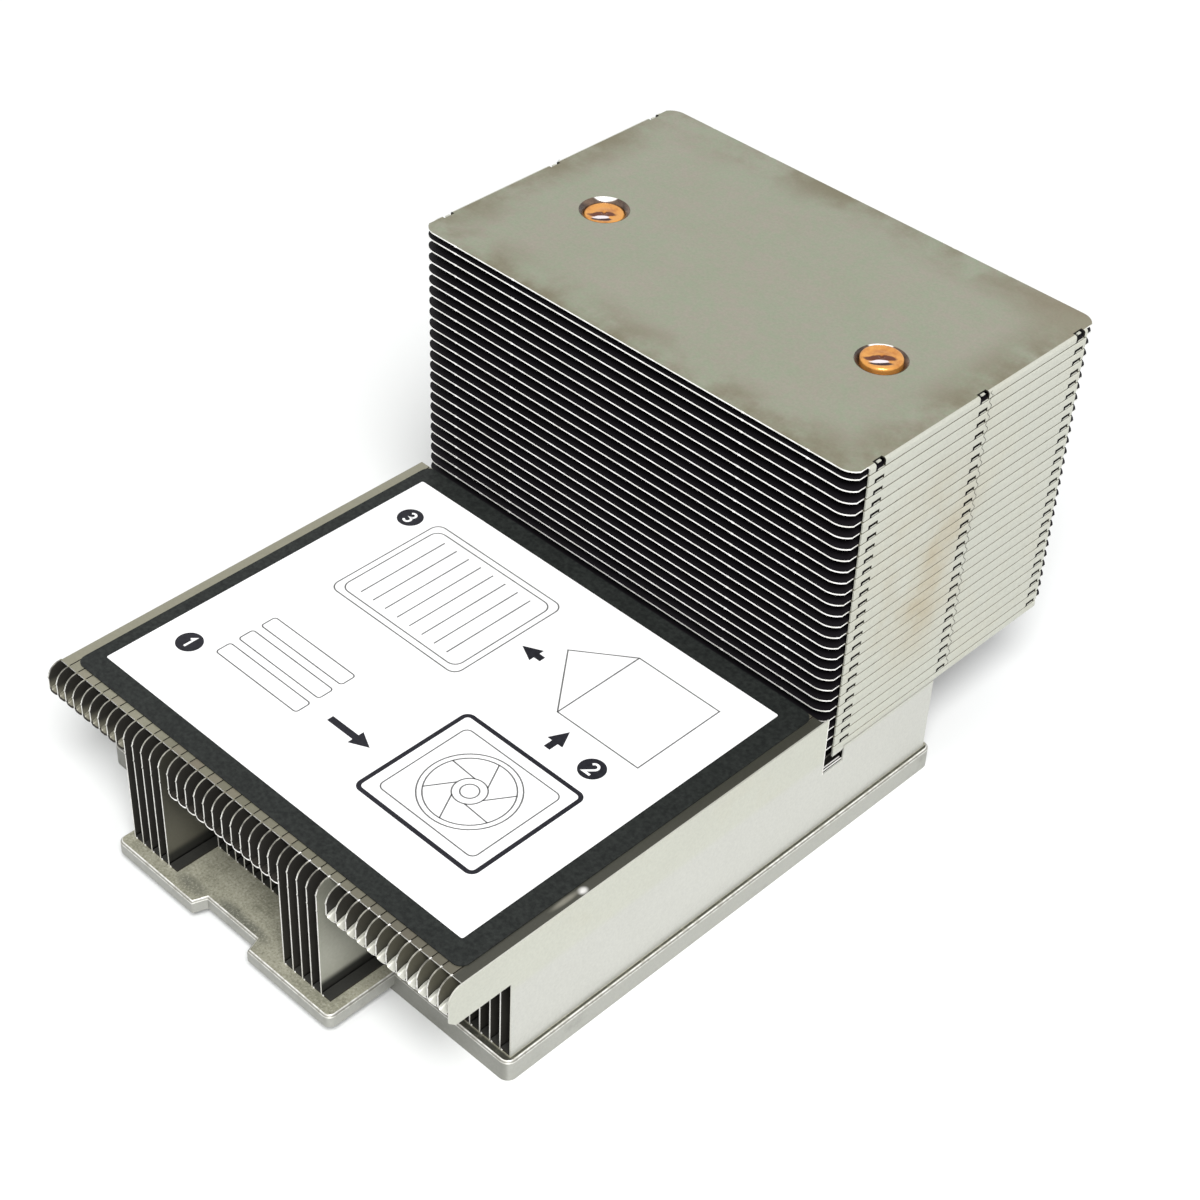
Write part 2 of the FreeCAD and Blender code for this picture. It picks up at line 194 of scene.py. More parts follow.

# --- wear, stains, painted shade and painted highlights: places on the part ---
SIDE_STAIN_PLACE = (1.0, 0.33, 0.5)  # shares of the tower's width, depth and height
SIDE_STAIN_REACH = mm(20, 17, 22)
BLOCK_SIDE_TOP = (17.0, 15.5)  # the side's tone changes between these heights, in millimetres
PLATE_EDGE_WEAR = 9.0 * MM
PLATE_CORNER_REACH = mm(20, 12, 10)
# top flanges: places across, in millimetres, between which they change
TILE_PALE = (-14.0, -24.0)
TILE_BROWN = (6.0, 32.0)
TILE_STRIP = (38.2, 38.6)  # dark strip beside the label
# scratches on that strip: centre, reach, colour
STRIP_SCRATCHES = (
    (mm(39.4, -28.7, 24), mm(0.8, 1, 1), (0.80, 0.79, 0.76)),
    (mm(39.1, -31.5, 24), mm(0.6, 3.4, 1), (0.22, 0.21, 0.17)),
)
# dark stains on the base plate beside the notch: centre, reach
BASE_STAINS = (
    (mm(1, -51.6, 3.6), mm(4.5, 1.6, 1)),
    (mm(-3.5, -51.3, 3.6), mm(4, 1.5, 1)),
    (mm(-11, -52.2, 3.6), mm(4, 1.6, 1)),
)
# strips of painted shade on the base plate: across beside the block, and along ahead of the outer legs
BESIDE_BLOCK = mm(40.3, 40.42, 40.62, 40.75)
AHEAD_OF_LEGS = mm(-41.7, -42.0, -42.6, -42.8)
AHEAD_START = (19.0, 21.0)  # they begin between these places across, in millimetres
BRIM_LINE = mm(0.36, 0.24, 0.16, 0.1)  # dark line on the bevel, under the plate's top
# painted reflections and a painted highlight on a pipe end: place across and ahead of the axis, reach,
# colour
PIPE_END_REFLECTIONS = (
    (-0.3 * MM, 0.40 * MM, mm(3.4, 0.95, 2.5), (0.13, 0.035, 0.014)),
    (-0.3 * MM, 1.65 * MM, mm(2.4, 0.6, 2.5), (0.040, 0.010, 0.010)),
    (-0.5 * MM, 1.15 * MM, mm(1.9, 0.5, 2.5), (0.85, 0.78, 0.80)),
)
COLLAR_GLINT = (0.5 * MM, -3.9 * MM, mm(3.2, 1.3, 1.4))
# the painted highlights and reflections on the pipe ends and collars lie square to the view
GLINT_TURN = math.radians(45)


# ---------------- sizes read from the CAD part

TOWER_NODES = sorted(name for name in NODES if name.startswith("tower_fin_"))
TOWER_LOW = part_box(TOWER_NODES[0])[0]
TOWER_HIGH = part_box(TOWER_NODES[-1])[1]
TOWER_FRONT = TOWER_LOW.y
TOWER_FOOT = TOWER_LOW.z
BASE_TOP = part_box("base_plate")[1].z
END_LOW, END_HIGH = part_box("end_sheet")
NOSE = END_LOW.y
REAR = END_HIGH.y
BLOCK_TOP = END_HIGH.z
BLOCK_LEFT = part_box("short_fins_01")[0].x
FIN_PITCH = (END_LOW.x - BLOCK_LEFT) / (FIN_COUNT - 1)


def pipe_axis(side):
    """Place of the upright run of a pipe, and its radius."""
    low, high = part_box("heat_pipe_" + side)
    radius = (high.x - low.x) / 2
    return (low.x + high.x) / 2, high.y - radius, radius


def pipe_top(side):
    """Point on the axis of a pipe, level with the top plate."""
    return Vector((*pipe_axis(side)[:2], TOWER_HIGH.z))


def fin_left(index):
    """Left face of an upright sheet."""
    return BLOCK_LEFT + index * FIN_PITCH


# ---------------- materials

def grey(value):
    return (value, value, value)


def rgba(colour):
    """Colour with full alpha; a socket stays as it is."""
    return (*colour, 1.0) if isinstance(colour, tuple) else colour


class Paint:
    """Shader nodes of a material or of the world. A value is a number or another node's socket."""

    def __init__(self, owner, shader):
        owner.use_nodes = True
        self.owner = owner
        self.tree = owner.node_tree
        self.inputs = self.tree.nodes[shader].inputs

    def feed(self, slot, value):
        """Give an input its value, or the socket that makes it."""
        if isinstance(value, bpy.types.NodeSocket):
            self.tree.links.new(value, slot)
        else:
            slot.default_value = value

    def node(self, kind, inputs, **settings):
        """Outputs of a new node with these settings and inputs."""
        node = self.tree.nodes.new("ShaderNode" + kind)
        for key, value in settings.items():
            setattr(node, key, value)
        for key, value in inputs.items():
            self.feed(node.inputs[key], value)
        return node.outputs

    def finish(self, **inputs):
        """Feed the shader; an underscore in a name stands for a space."""
        for key, value in inputs.items():
            self.feed(self.inputs[key.replace("_", " ")], value)
        return self.owner

    def place(self, kind="Object"):
        """Coordinates in the part's frame, or the surface normal in it."""
        return self.node("TexCoord", {})[kind]

    def maths(self, operation, first, second=0.0):
        """Result of one sum."""
        return self.node("Math", {0: first, 1: second}, operation=operation)[0]

    def times(self, first, second):
        return self.maths("MULTIPLY", first, second)

    def length(self, vector):
        return self.node("VectorMath", {0: vector}, operation="LENGTH")["Value"]

    def axis(self, axis, kind="Object"):
        """One coordinate in the part's frame, or one component of the surface normal."""
        return self.node("SeparateXYZ", {0: self.place(kind)})[axis]

    def fade(self, value, start, end, low=0.0, high=1.0):
        """Smooth change from low to high while a value runs from start to end."""
        limits = {"Value": value, "From Min": start, "From Max": end, "To Min": low, "To Max": high}
        return self.node("MapRange", limits, interpolation_type="SMOOTHSTEP")["Result"]

    def along(self, axis, start, end, *limits):
        """Fade along one axis of the part, between two places in millimetres."""
        return self.fade(self.axis(axis), *mm(start, end), *limits)

    def facing(self, axis, *limits):
        """Fade by how far the surface faces along one axis."""
        return self.fade(self.axis(axis, "Normal"), *limits)

    def band(self, value, start, full, fall, end):
        """1 while a value lies inside a band, fading to 0 at both its ends."""
        return self.times(self.fade(value, start, full), self.fade(value, end, fall))

    def spot(self, centre, radii, turn=0.0):
        """1 at a place on the part, fading to 0 at the given distances along axes turned about Z."""
        inputs = {"Vector": self.place(), "Location": centre, "Rotation": (0.0, 0.0, turn), "Scale": radii}
        return self.fade(self.length(self.node("Mapping", inputs, vector_type="TEXTURE")[0]), 1.0, 0.2)

    def noise(self, scale, detail=4.0, roughness=0.6):
        inputs = {"Vector": self.place(), "Scale": scale, "Detail": detail, "Roughness": roughness}
        return self.node("TexNoise", inputs)["Fac"]

    def ramp(self, value, *stops):
        """Colour ramp; stops are (position, colour) pairs."""
        node = self.tree.nodes.new("ShaderNodeValToRGB")
        elements = node.color_ramp.elements
        while len(elements) < len(stops):
            elements.new(0.5)
        for element, (position, colour) in zip(elements, stops):
            element.position = position
            element.color = rgba(colour)
        self.feed(node.inputs["Fac"], value)
        return node.outputs["Color"]

    def mix(self, amount, first, second, blend="MIX"):
        """Mix of two colours."""
        inputs = {"Factor": amount, 6: rgba(first), 7: rgba(second)}
        return self.node("Mix", inputs, data_type="RGBA", blend_type=blend)[2]

    def bump(self, height, strength, distance):
        inputs = {"Height": height, "Strength": strength, "Distance": distance}
        self.finish(Normal=self.node("Bump", inputs)["Normal"])

    def cloudy(self, clean, stain, amount):
        """Metal colour with soft clouds and blotches of a second colour."""
        tone = self.ramp(self.noise(38.0, 5.0), (0.3, tuple(c * 0.93 for c in clean)), (0.7, clean))
        patches = self.ramp(self.noise(75.0, 6.0, 0.62), (0.5, grey(0.0)), (0.72, grey(amount)))
        return self.mix(patches, tone, stain)

    def metal(self, colour, metallic, roughness):
        """Fine grain over a metal colour, in tone, gloss and relief; returns the material."""
        grain = self.noise(2600.0, 3.0)
        speckle = self.ramp(grain, (0.3, grey(0.9)), (0.7, grey(1.0)))
        shine = self.ramp(self.noise(90.0), (0.3, grey(roughness - 0.05)), (0.7, grey(roughness + 0.08)))
        self.bump(grain, 0.08, 0.05 * MM)
        return self.finish(Base_Color=self.mix(1.0, colour, speckle, "MULTIPLY"),
                           Metallic=metallic, Roughness=shine)


def new_paint(name):
    return Paint(bpy.data.materials.new(name), "Principled BSDF")


def sheet_metal(name, clean, stain, amount):
    """Plain rolled aluminium with light tarnish, in the colours given; some of them are painted shade."""
    paint = new_paint(name)
    return paint.metal(paint.cloudy(clean, stain, amount), 0.4, 0.42)


def side_metal():
    """Side walls of the tower and the block, with one warm stain half way up the tower."""
    paint = new_paint("fin_side")
    colour = paint.cloudy((0.555, 0.56, 0.49), (0.50, 0.48, 0.385), 0.5)
    centre = [low + share * (high - low)
              for low, high, share in zip(TOWER_LOW, TOWER_HIGH, SIDE_STAIN_PLACE)]
    rough = paint.noise(60.0, 5.0)
    stain = paint.times(paint.spot(centre, SIDE_STAIN_REACH), paint.fade(rough, 0.35, 0.65))
    colour = paint.mix(stain, colour, (0.44, 0.385, 0.27))
    block_tone = paint.mix(rough, (0.53, 0.53, 0.49), (0.565, 0.565, 0.525))
    colour = paint.mix(paint.along("Z", *BLOCK_SIDE_TOP), colour, block_tone)
    return paint.metal(colour, 0.35, 0.42)


def plate_metal():
    """Top plate: even grey with olive and brown tarnish that gathers near its edges."""
    paint = new_paint("fin_plate")
    middle = (TOWER_LOW.y + TOWER_HIGH.y) / 2
    behind = paint.maths("SUBTRACT", paint.axis("Y"), middle)
    insets = [paint.maths("SUBTRACT", half, paint.maths("ABSOLUTE", place))
              for half, place in ((TOWER_HIGH.x, paint.axis("X")), (TOWER_HIGH.y - middle, behind))]
    edge = paint.fade(paint.maths("MINIMUM", *insets), PLATE_EDGE_WEAR, 0.0)
    tarnish = paint.times(edge, paint.fade(paint.noise(85.0, 6.0, 0.62), 0.36, 0.62))
    colour = paint.cloudy((0.287, 0.292, 0.216), (0.24, 0.235, 0.165), 0.45)
    for scale, strength in ((170.0, 0.35), (900.0, 0.30)):
        tint = paint.ramp(paint.noise(scale, 3.0), (0.40, (0.265, 0.315, 0.222)),
                          (0.60, (0.335, 0.292, 0.255)))
        colour = paint.mix(strength, colour, tint)
    colour = paint.mix(tarnish, colour, (0.185, 0.168, 0.108))
    corner = paint.spot(TOWER_HIGH, PLATE_CORNER_REACH)
    colour = paint.mix(paint.times(corner, 0.7), colour, (0.22, 0.19, 0.13))
    return paint.metal(colour, 0.35, 0.45)


def tile_metal():
    """Top flanges: each tile has its own tone, a few of them rather pink."""
    paint = new_paint("fin_tile")
    from_left = paint.maths("SUBTRACT", paint.axis("X"), BLOCK_LEFT)
    number = paint.maths("FLOOR", paint.times(from_left, 1.0 / FIN_PITCH))
    chance = paint.node("TexWhiteNoise", {"W": number}, noise_dimensions="1D")["Value"]
    colour = paint.ramp(chance, (0.0, (0.160, 0.153, 0.108)), (0.7, (0.210, 0.200, 0.145)),
                        (0.9, (0.185, 0.163, 0.118)))
    for limits, strength, tone in ((TILE_PALE, 0.45, (0.33, 0.32, 0.24)),
                                   (TILE_BROWN, 0.75, (0.11, 0.10, 0.075)),
                                   (TILE_STRIP, 0.8, (0.036, 0.038, 0.030))):
        colour = paint.mix(paint.along("X", *limits, 0.0, strength), colour, tone)
    for centre, radii, bright in STRIP_SCRATCHES:
        colour = paint.mix(paint.spot(centre, radii), colour, bright)
    return paint.metal(colour, 0.3, 0.4)


def inner_metal():
    """Inner faces of the upright sheets: painted dark as shade between the packed sheets, with painted
    reflected light at the noses on both sides.
    """
    paint = new_paint("fin_inner_shade_and_light")
    colour = paint.cloudy((0.030, 0.028, 0.024), (0.05, 0.046, 0.035), 0.5)
    # the pale patches near the noses, on the right and on the left, are painted reflected light
    right = paint.times(paint.along("X", 17.0, 34.0), paint.along("Z", 19.5, 22.5))
    colour = paint.mix(right, colour, (0.125, 0.118, 0.085))
    left = paint.times(paint.along("X", -24.0, -30.0), paint.along("Z", 22.0, 20.3))
    colour = paint.mix(left, colour, (0.20, 0.19, 0.145))
    return paint.metal(colour, 0.2, 0.5)


def leg_metal():
    """Bare sides of the long fins, painted with light and shade: olive and darker above, lighter below,
    darker on the left group than on the right, and painted shade just over the foot.
    """
    paint = new_paint("leg_side_light_and_shade")
    upper = paint.along("Z", 8.0, 20.0)
    left = paint.mix(upper, (0.13, 0.125, 0.098), (0.055, 0.053, 0.040))
    right = paint.mix(upper, (0.40, 0.40, 0.34), (0.27, 0.27, 0.22))
    colour = paint.mix(paint.along("X", -5.0, 10.0), left, right)
    # band of painted shade just over the foot
    colour = paint.mix(paint.along("Z", 6.6, 5.2), colour, (0.03, 0.03, 0.026))
    return paint.metal(colour, 0.3, 0.45)


def base_metal():
    """Plated base: mottled grainy top, paler sides with painted light and shade, and a mottled bevel
    painted bright as a highlight, with a bright brim.
    """
    paint = new_paint("base_metal")
    blotch = paint.noise(130.0, 6.0, 0.65)
    fleck = paint.noise(900.0, 4.0, 0.7)
    bevel = paint.band(paint.axis("Z", "Normal"), 0.3, 0.5, 0.8, 0.9)
    faces = paint.mix(paint.facing("Z", 0.85, 0.95), base_sides(paint, blotch, fleck),
                      base_top(paint, blotch, fleck))
    return paint.metal(paint.mix(bevel, faces, base_bevel(paint, fleck)), 0.3, 0.42)


def base_top(paint, blotch, fleck):
    """Upper faces of the base: mottled and grainy, stained, with painted shade beside and ahead of the
    block.
    """
    top = paint.mix(paint.fade(blotch, 0.36, 0.62), (0.29, 0.285, 0.215), (0.42, 0.41, 0.32))
    for centre, radii in BASE_STAINS:
        stain = paint.times(paint.spot(centre, radii), paint.fade(blotch, 0.3, 0.6))
        top = paint.mix(paint.times(stain, 0.75), top, (0.115, 0.12, 0.10))
    grain = paint.noise(2800.0, 3.0, 0.7)
    for value, limits, strength, tone in ((grain, (0.50, 0.66), 0.45, (0.13, 0.125, 0.09)),
                                          (grain, (0.48, 0.34), 0.45, (0.60, 0.59, 0.49)),
                                          (fleck, (0.64, 0.72), 0.6, (0.06, 0.06, 0.045))):
        top = paint.mix(paint.fade(value, *limits, 0.0, strength), top, tone)
    out = paint.maths("ABSOLUTE", paint.axis("X"))
    beside = paint.band(out, *BESIDE_BLOCK)
    ahead = paint.times(paint.band(paint.axis("Y"), *AHEAD_OF_LEGS), paint.along("X", *AHEAD_START))
    shaded = paint.times(paint.maths("MAXIMUM", beside, ahead), paint.fade(fleck, 0.25, 0.5, 0.65, 0.95))
    return paint.mix(shaded, top, (0.045, 0.045, 0.036))


def base_sides(paint, blotch, fleck):
    """Upright faces of the base: painted palest on the right and painted darker in front, as light and
    shade fall on them.
    """
    sides = paint.mix(paint.fade(fleck, 0.35, 0.65), (0.29, 0.29, 0.262), (0.325, 0.325, 0.298))
    # painted light on the faces that look right
    sides = paint.mix(paint.facing("X", 0.2, 0.8, 0.0, 0.8), sides, (0.40, 0.40, 0.365))
    # painted shade on the set-back faces that look forward
    front = paint.times(paint.facing("Y", -0.6, -0.9), paint.along("Y", -46.0, -44.0))
    sides = paint.mix(paint.times(front, 0.7), sides, (0.21, 0.21, 0.185))
    return paint.mix(paint.fade(blotch, 0.56, 0.72, 0.0, 0.5), sides, (0.17, 0.17, 0.145))


def base_bevel(paint, fleck):
    """Bevel round the base's top, mottled and painted bright as a highlight, with a dark line under its
    bright brim.
    """
    line = paint.band(paint.axis("Z"), *(BASE_TOP - drop for drop in BRIM_LINE))
    # the bevel's pale mottled colour is a painted highlight
    mottle = paint.mix(paint.fade(fleck, 0.35, 0.60), (0.50, 0.49, 0.44), (0.78, 0.78, 0.74))
    return paint.mix(paint.times(line, 0.8), mottle, (0.16, 0.155, 0.13))


def dark_metal(name, low, high):
    """Inner faces of the closely packed sheets, which see little light."""
    paint = new_paint(name)
    colour = paint.ramp(paint.noise(60.0, 4.0, 0.55), (0.3, low), (0.7, high))
    return paint.finish(Base_Color=colour, Specular_IOR_Level=0.2, Roughness=0.6)


def cut_edge():
    """Bright sheared edges of the sheets."""
    paint = new_paint("fin_edge")
    nick = paint.noise(700.0)
    paint.bump(nick, 0.15, 0.1 * MM)
    colour = paint.ramp(nick, (0.35, (0.74, 0.73, 0.68)), (0.6, (0.93, 0.92, 0.90)))
    return paint.finish(Base_Color=colour, Metallic=0.2, Roughness=0.4)


def nose_edge():
    """Cut edges of the upright fins: bright in front, painted darker as shade where they face up."""
    paint = new_paint("nose_edge")
    mottle = paint.noise(900.0, 3.0)
    bright = paint.ramp(mottle, (0.3, (0.60, 0.59, 0.55)), (0.65, (0.86, 0.85, 0.81)))
    up_facing_shade = paint.ramp(mottle, (0.35, (0.12, 0.115, 0.10)), (0.65, (0.36, 0.35, 0.30)))
    return paint.metal(paint.mix(paint.facing("Z", 0.15, 0.75), bright, up_facing_shade), 0.3, 0.4)


def pipe_spot(paint, side, across, ahead, radii):
    """Spot on a pipe end; across and ahead are measured square to the part's viewed corner."""
    offset = Matrix.Rotation(GLINT_TURN, 3, "Z") @ Vector((across, -ahead, 0.0))
    return paint.spot(pipe_top(side) + offset, radii, GLINT_TURN)


def collar_metal():
    """Funnel round each pipe end: a painted white highlight at the rear, and dark brown painted shade
    elsewhere.
    """
    paint = new_paint("pipe_collar")
    colour = paint.ramp(paint.noise(500.0), (0.35, (0.035, 0.022, 0.016)), (0.62, (0.15, 0.10, 0.07)))
    for side in PIPE_SIDES:
        glint = paint.fade(pipe_spot(paint, side, *COLLAR_GLINT), 0.1, 0.4)
        colour = paint.mix(glint, colour, (0.88, 0.86, 0.84))
    return paint.metal(colour, 0.2, 0.25)


def copper():
    """Bright copper tube with brown tarnish, and on each end a painted dark reflection, a painted dark
    line and a painted white highlight.
    """
    paint = new_paint("pipe_copper")
    tarnish = paint.noise(420.0, 5.0)
    rough = paint.fade(tarnish, 0.3, 0.7, 0.15, -0.15)
    colour = paint.ramp(tarnish, (0.32, (0.50, 0.19, 0.045)), (0.52, (0.74, 0.34, 0.08)))
    for side in PIPE_SIDES:
        # painted reflections and highlight, not the copper's own colour
        for across, ahead, radii, tone in PIPE_END_REFLECTIONS:
            painted_mark = paint.maths("ADD", pipe_spot(paint, side, across, ahead, radii), rough)
            colour = paint.mix(paint.fade(painted_mark, 0.15, 0.55), colour, tone)
    paint.bump(tarnish, 0.25, 0.1 * MM)
    return paint.finish(Base_Color=colour, Metallic=0.6, Roughness=0.25)


def film(name, light, dark, roughness):
    """Printed matte film with fine mottling."""
    paint = new_paint(name)
    fleck = paint.noise(1500.0, 3.0, 0.7)
    fine = paint.ramp(fleck, (0.35, dark), (0.65, light))
    shade = paint.ramp(paint.noise(120.0, 5.0), (0.35, grey(0.9)), (0.6, grey(1.0)))
    paint.bump(fleck, 0.05, 0.05 * MM)
    return paint.finish(Base_Color=paint.mix(1.0, fine, shade, "MULTIPLY"), Roughness=roughness,
                        Specular_IOR_Level=0.15)


# ---------------- mesh helpers

def thicken(piece, inner_shift, rim_shift):
    """Give a skin the thickness of the sheet, inwards; shifts choose the other materials."""
    modifier = piece.modifiers.new("sheet", "SOLIDIFY")
    modifier.thickness = SHEET
    modifier.offset = -1.0
    modifier.use_even_offset = True
    modifier.material_offset = inner_shift
    modifier.material_offset_rim = rim_shift
    apply_modifiers(piece)


def apply_modifiers(piece):
    """Replace a piece's mesh by what its modifiers make of it."""
    bpy.context.view_layer.update()
    evaluated = piece.evaluated_get(bpy.context.evaluated_depsgraph_get())
    mesh = bpy.data.meshes.new_from_object(evaluated)
    piece.modifiers.clear()
    piece.data = mesh


def smooth(piece, angle=40):
    """Smooth shading, with sharp edges kept where faces meet at more than the angle."""
    piece.data.shade_smooth()
    piece.data.set_sharp_from_angle(angle=math.radians(angle))


def repaint(piece, slots, new_slot, chosen):
    """Give a new material slot to the faces in some slots that a test chooses."""
    for face in piece.data.polygons:
        if face.material_index in slots and chosen(face):
            face.material_index = new_slot


def arc(centre, radius, start, end, steps=ARC_STEPS):
    """Points of an arc between two angles in degrees, in a plane."""
    angles = [math.radians(start + (end - start) * i / steps) for i in range(steps + 1)]
    return [(centre[0] + radius * math.cos(a), centre[1] + radius * math.sin(a)) for a in angles]


def rectangle(u0, u1, v0, v1):
    return [(u0, v0), (u1, v0), (u1, v1), (u0, v1)]


def winding(outline):
    """Twice the area inside an outline: above 0 where it runs counter-clockwise."""
    return sum(u0 * v1 - u1 * v0
               for (u0, v0), (u1, v1) in zip(outline, outline[1:] + outline[:1]))


def scene_object(name, data):
    """New object in the scene that holds a mesh, a lamp or a camera."""
    holder = bpy.data.objects.new(name, data)
    bpy.context.scene.collection.objects.link(holder)
    return holder


class Build:
    """Collects points and faces of one piece."""

    def __init__(self):
        self.points = []
        self.faces = []
        self.slots = []

    def add(self, points, faces, slot):
        start = len(self.points)
        self.points += points
        self.faces += [tuple(i + start for i in face) for face in faces]
        self.slots += [slot] * len(faces)

    def grid(self, rows, slot_of=0, keep=None):
        """Surface through rows of points; keep takes the row and column, and so may slot_of."""
        start = len(self.points)
        width = len(rows[0])
        for row in rows:
            self.points += row
        for r in range(len(rows) - 1):
            for c in range(width - 1):
                if keep and not keep(r, c):
                    continue
                first = start + r * width + c
                self.faces.append((first, first + 1, first + width + 1, first + width))
                self.slots.append(slot_of(r, c) if callable(slot_of) else slot_of)

    def prism(self, outline, place, back, front=None, rim=None):
        """Solid over an outline; place(u, v, side) puts a point. Slots left out are the back's."""
        if winding(outline) > 0:
            outline = outline[::-1]
        count = len(outline)
        sides = [(j, i, count + i, count + j) for i, j in zip(range(count), [*range(1, count), 0])]
        faces = [tuple(range(count)), tuple(count + i for i in reversed(range(count))), *sides]
        self.add([place(u, v, side) for side in (0, 1) for u, v in outline], faces, back)
        first = len(self.slots) - len(faces)
        if front is not None:
            self.slots[first + 1:] = [front] + [rim] * count

    def piece(self, name, slots, slot_name="fins"):
        """Mesh object that rides on the part, with one material for each slot."""
        mesh = bpy.data.meshes.new(name)
        mesh.from_pydata([tuple(p) for p in self.points], [], self.faces)
        for key in slots:
            mesh.materials.append(MATERIALS[key])
        mesh.polygons.foreach_set("material_index", self.slots)
        mesh.update()
        piece = scene_object(name, mesh)
        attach(piece, "root")
        return piece


def upright(*places):
    """Places a YZ outline between two X places."""
    x0, x1 = sorted(places)
    return lambda y, z, side: Vector((x1 if side else x0, y, z))


def level(z0, z1):
    """Places an XY outline between two heights."""
    return lambda x, y, side: Vector((x, y, z1 if side else z0))


def join_into(piece, other):
    """Merge another piece's mesh and materials into a piece, and drop the other."""
    bm = bmesh.new()
    bm.from_mesh(piece.data)
    count = len(piece.data.materials)
    for polygon in other.data.polygons:
        polygon.material_index += count
    bm.from_mesh(other.data)
    for material in other.data.materials:
        piece.data.materials.append(material)
    bm.to_mesh(piece.data)
    bm.free()
    bpy.data.objects.remove(other)


# ---------------- tower of level fins

def lip_reach(x, half):
    """How far a plate's rounded outline reaches past the end of its flange, at one x."""
    inset = abs(x) - (half - TOWER_CORNER_RADIUS)
    if inset <= 0:
        return TOWER_CORNER_RADIUS
    return math.sqrt(max(TOWER_CORNER_RADIUS ** 2 - inset ** 2, 0.0))


def tower_section(half, top, foot):
    """Right half of a level fin seen from the front, from the middle to the flange foot."""
    flat_end = half - BEND_RADIUS
    corner = half - TOWER_CORNER_RADIUS
    section = [(0.0, top)]
    section += [(corner + (flat_end - corner) * i / FLAT_STEPS, top) for i in range(FLAT_STEPS + 1)]
    section += arc((flat_end, top - BEND_RADIUS), BEND_RADIUS, 90, 0, TOWER_FOLD_STEPS)[1:]
    section += [(half, foot + LOCK_HEIGHT), (half, foot + SEAM_GAP)]
    return section


def tower_rows(front, rear):
    """Places along Y where the flange is divided, and which spans are locks."""
    stops = [front + TOWER_CORNER_RADIUS]
    locks = []
    for inset in LOCK_INSETS:
        locks.append(len(stops))
        stops += [front + inset - LOCK_LENGTH / 2, front + inset + LOCK_LENGTH / 2]
    stops.append(rear - TOWER_CORNER_RADIUS)
    return stops, locks


def tower_skin(low, high, stops, locks, is_top, is_lowest):
    """Outer skin of a level fin: plate with rounded corners, folds, flanges with lock openings."""
    half = high.x
    right = tower_section(half, high.z, low.z)
    section = [(-x, z) for x, z in reversed(right[1:])] + right
    middle = len(right) - 1
    reach = FLAT_STEPS + 1
    flat = range(middle - reach, middle + reach)
    fold = [column for step in range(SHADED_SPANS)
            for column in (flat[0] - 1 - step, flat[-1] + 1 + step)]
    rows = [[Vector((x, stops[0] - lip_reach(x, half), z)) for x, z in section]]
    rows += [[Vector((x, y, z)) for x, z in section] for y in stops]
    rows.append([Vector((x, stops[-1] + lip_reach(x, half), z)) for x, z in section])
    last_span = len(rows) - 2

    def keep(row, column):
        if row in (0, last_span):
            return column in flat
        if row - 1 not in locks or is_lowest:
            return True
        if is_top:
            return column in flat[1:-1]
        return 0 < column < len(section) - 2

    def slot_of(row, column):
        if column in flat:
            return 1
        if is_top or column not in fold:
            return 0
        # fold spans under the fin above get painted shade: black in the lock rows, the joint's shade
        # elsewhere
        return 6 if row - 1 in locks else 7

    build = Build()
    build.grid(rows, slot_of, keep)
    return build


def tower_fin(node, is_top, is_lowest):
    """One level fin, with its burrs, hooked tongues and joints."""
    low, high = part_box(node)
    stops, locks = tower_rows(low.y, high.y)
    build = tower_skin(low, high, stops, locks, is_top, is_lowest)
    # the inner face of a skin takes the slot after the skin's own, and its rim the third after
    slots = ["side", "plate" if is_top else "gap", "gap", "edge", "edge", "seam",
             "gap", "joint", "gap", "edge", "joint"]
    piece = build.piece("looks_" + node, slots)
    thicken(piece, 1, 3)
    side_rims, plate_rim, seam = (3, 9, 10), 4, 5
    start, end = stops[0] + SHEET, stops[-1] - SHEET
    # the rims along the seams and round the lock openings are painted dark as shade
    repaint(piece, side_rims, seam, lambda face: start < face.center.y < end)
    repaint(piece, side_rims, 0, lambda face: face.center.z < high.z - BEND_RADIUS / 2)
    # the rims of the top plate's notches are painted dark as shade
    if is_top:
        repaint(piece, (plate_rim,), seam, lambda face: start < face.center.y < end)
    smooth(piece)
    details = tower_details(low, high, stops, locks, is_top, is_lowest)
    join_into(piece, details.piece("details", ["edge", "side", "seam", "joint"]))
    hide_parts(node)
    return piece


def tower_details(low, high, stops, locks, is_top, is_lowest):
    """Small forms on one level fin."""
    details = Build()
    for x in FRONT_NUBS:
        plate_nub(details, x, low.y, high.z, -1)
    for x in REAR_NUBS:
        plate_nub(details, x, high.y, high.z, 1)
    fronts = [stops[lock] for lock in locks]
    ticks = (fronts[0] + LOCK_LENGTH + TICK_BEHIND, fronts[2] - TICK_BEFORE)

    def on_walls(places, height, shape, depths, slot):
        for y in places:
            outline = [(y + behind, height + up) for behind, up in shape]
            for side in (-1, 1):
                places_x = [side * (high.x - depth) for depth in depths]
                details.prism(outline, upright(*places_x), slot)

    if is_lowest:
        on_walls(stops[:1], low.z, HANGING, (0.0, SHEET), 1)
    else:
        on_walls(fronts, low.z, LOCK_TAB, LOCK_TAB_DEPTHS, 1)
        for side in (-1, 1):
            wavy_seam(details, side, high, fronts[1] + LOCK_LENGTH + WAVE_BEHIND, low.z)
    if is_top:
        on_walls(fronts, high.z, CAP_TAB, CAP_TAB_DEPTHS, 1)
    else:
        on_walls(ticks, high.z, TICK, TICK_DEPTHS, 3)
    return details


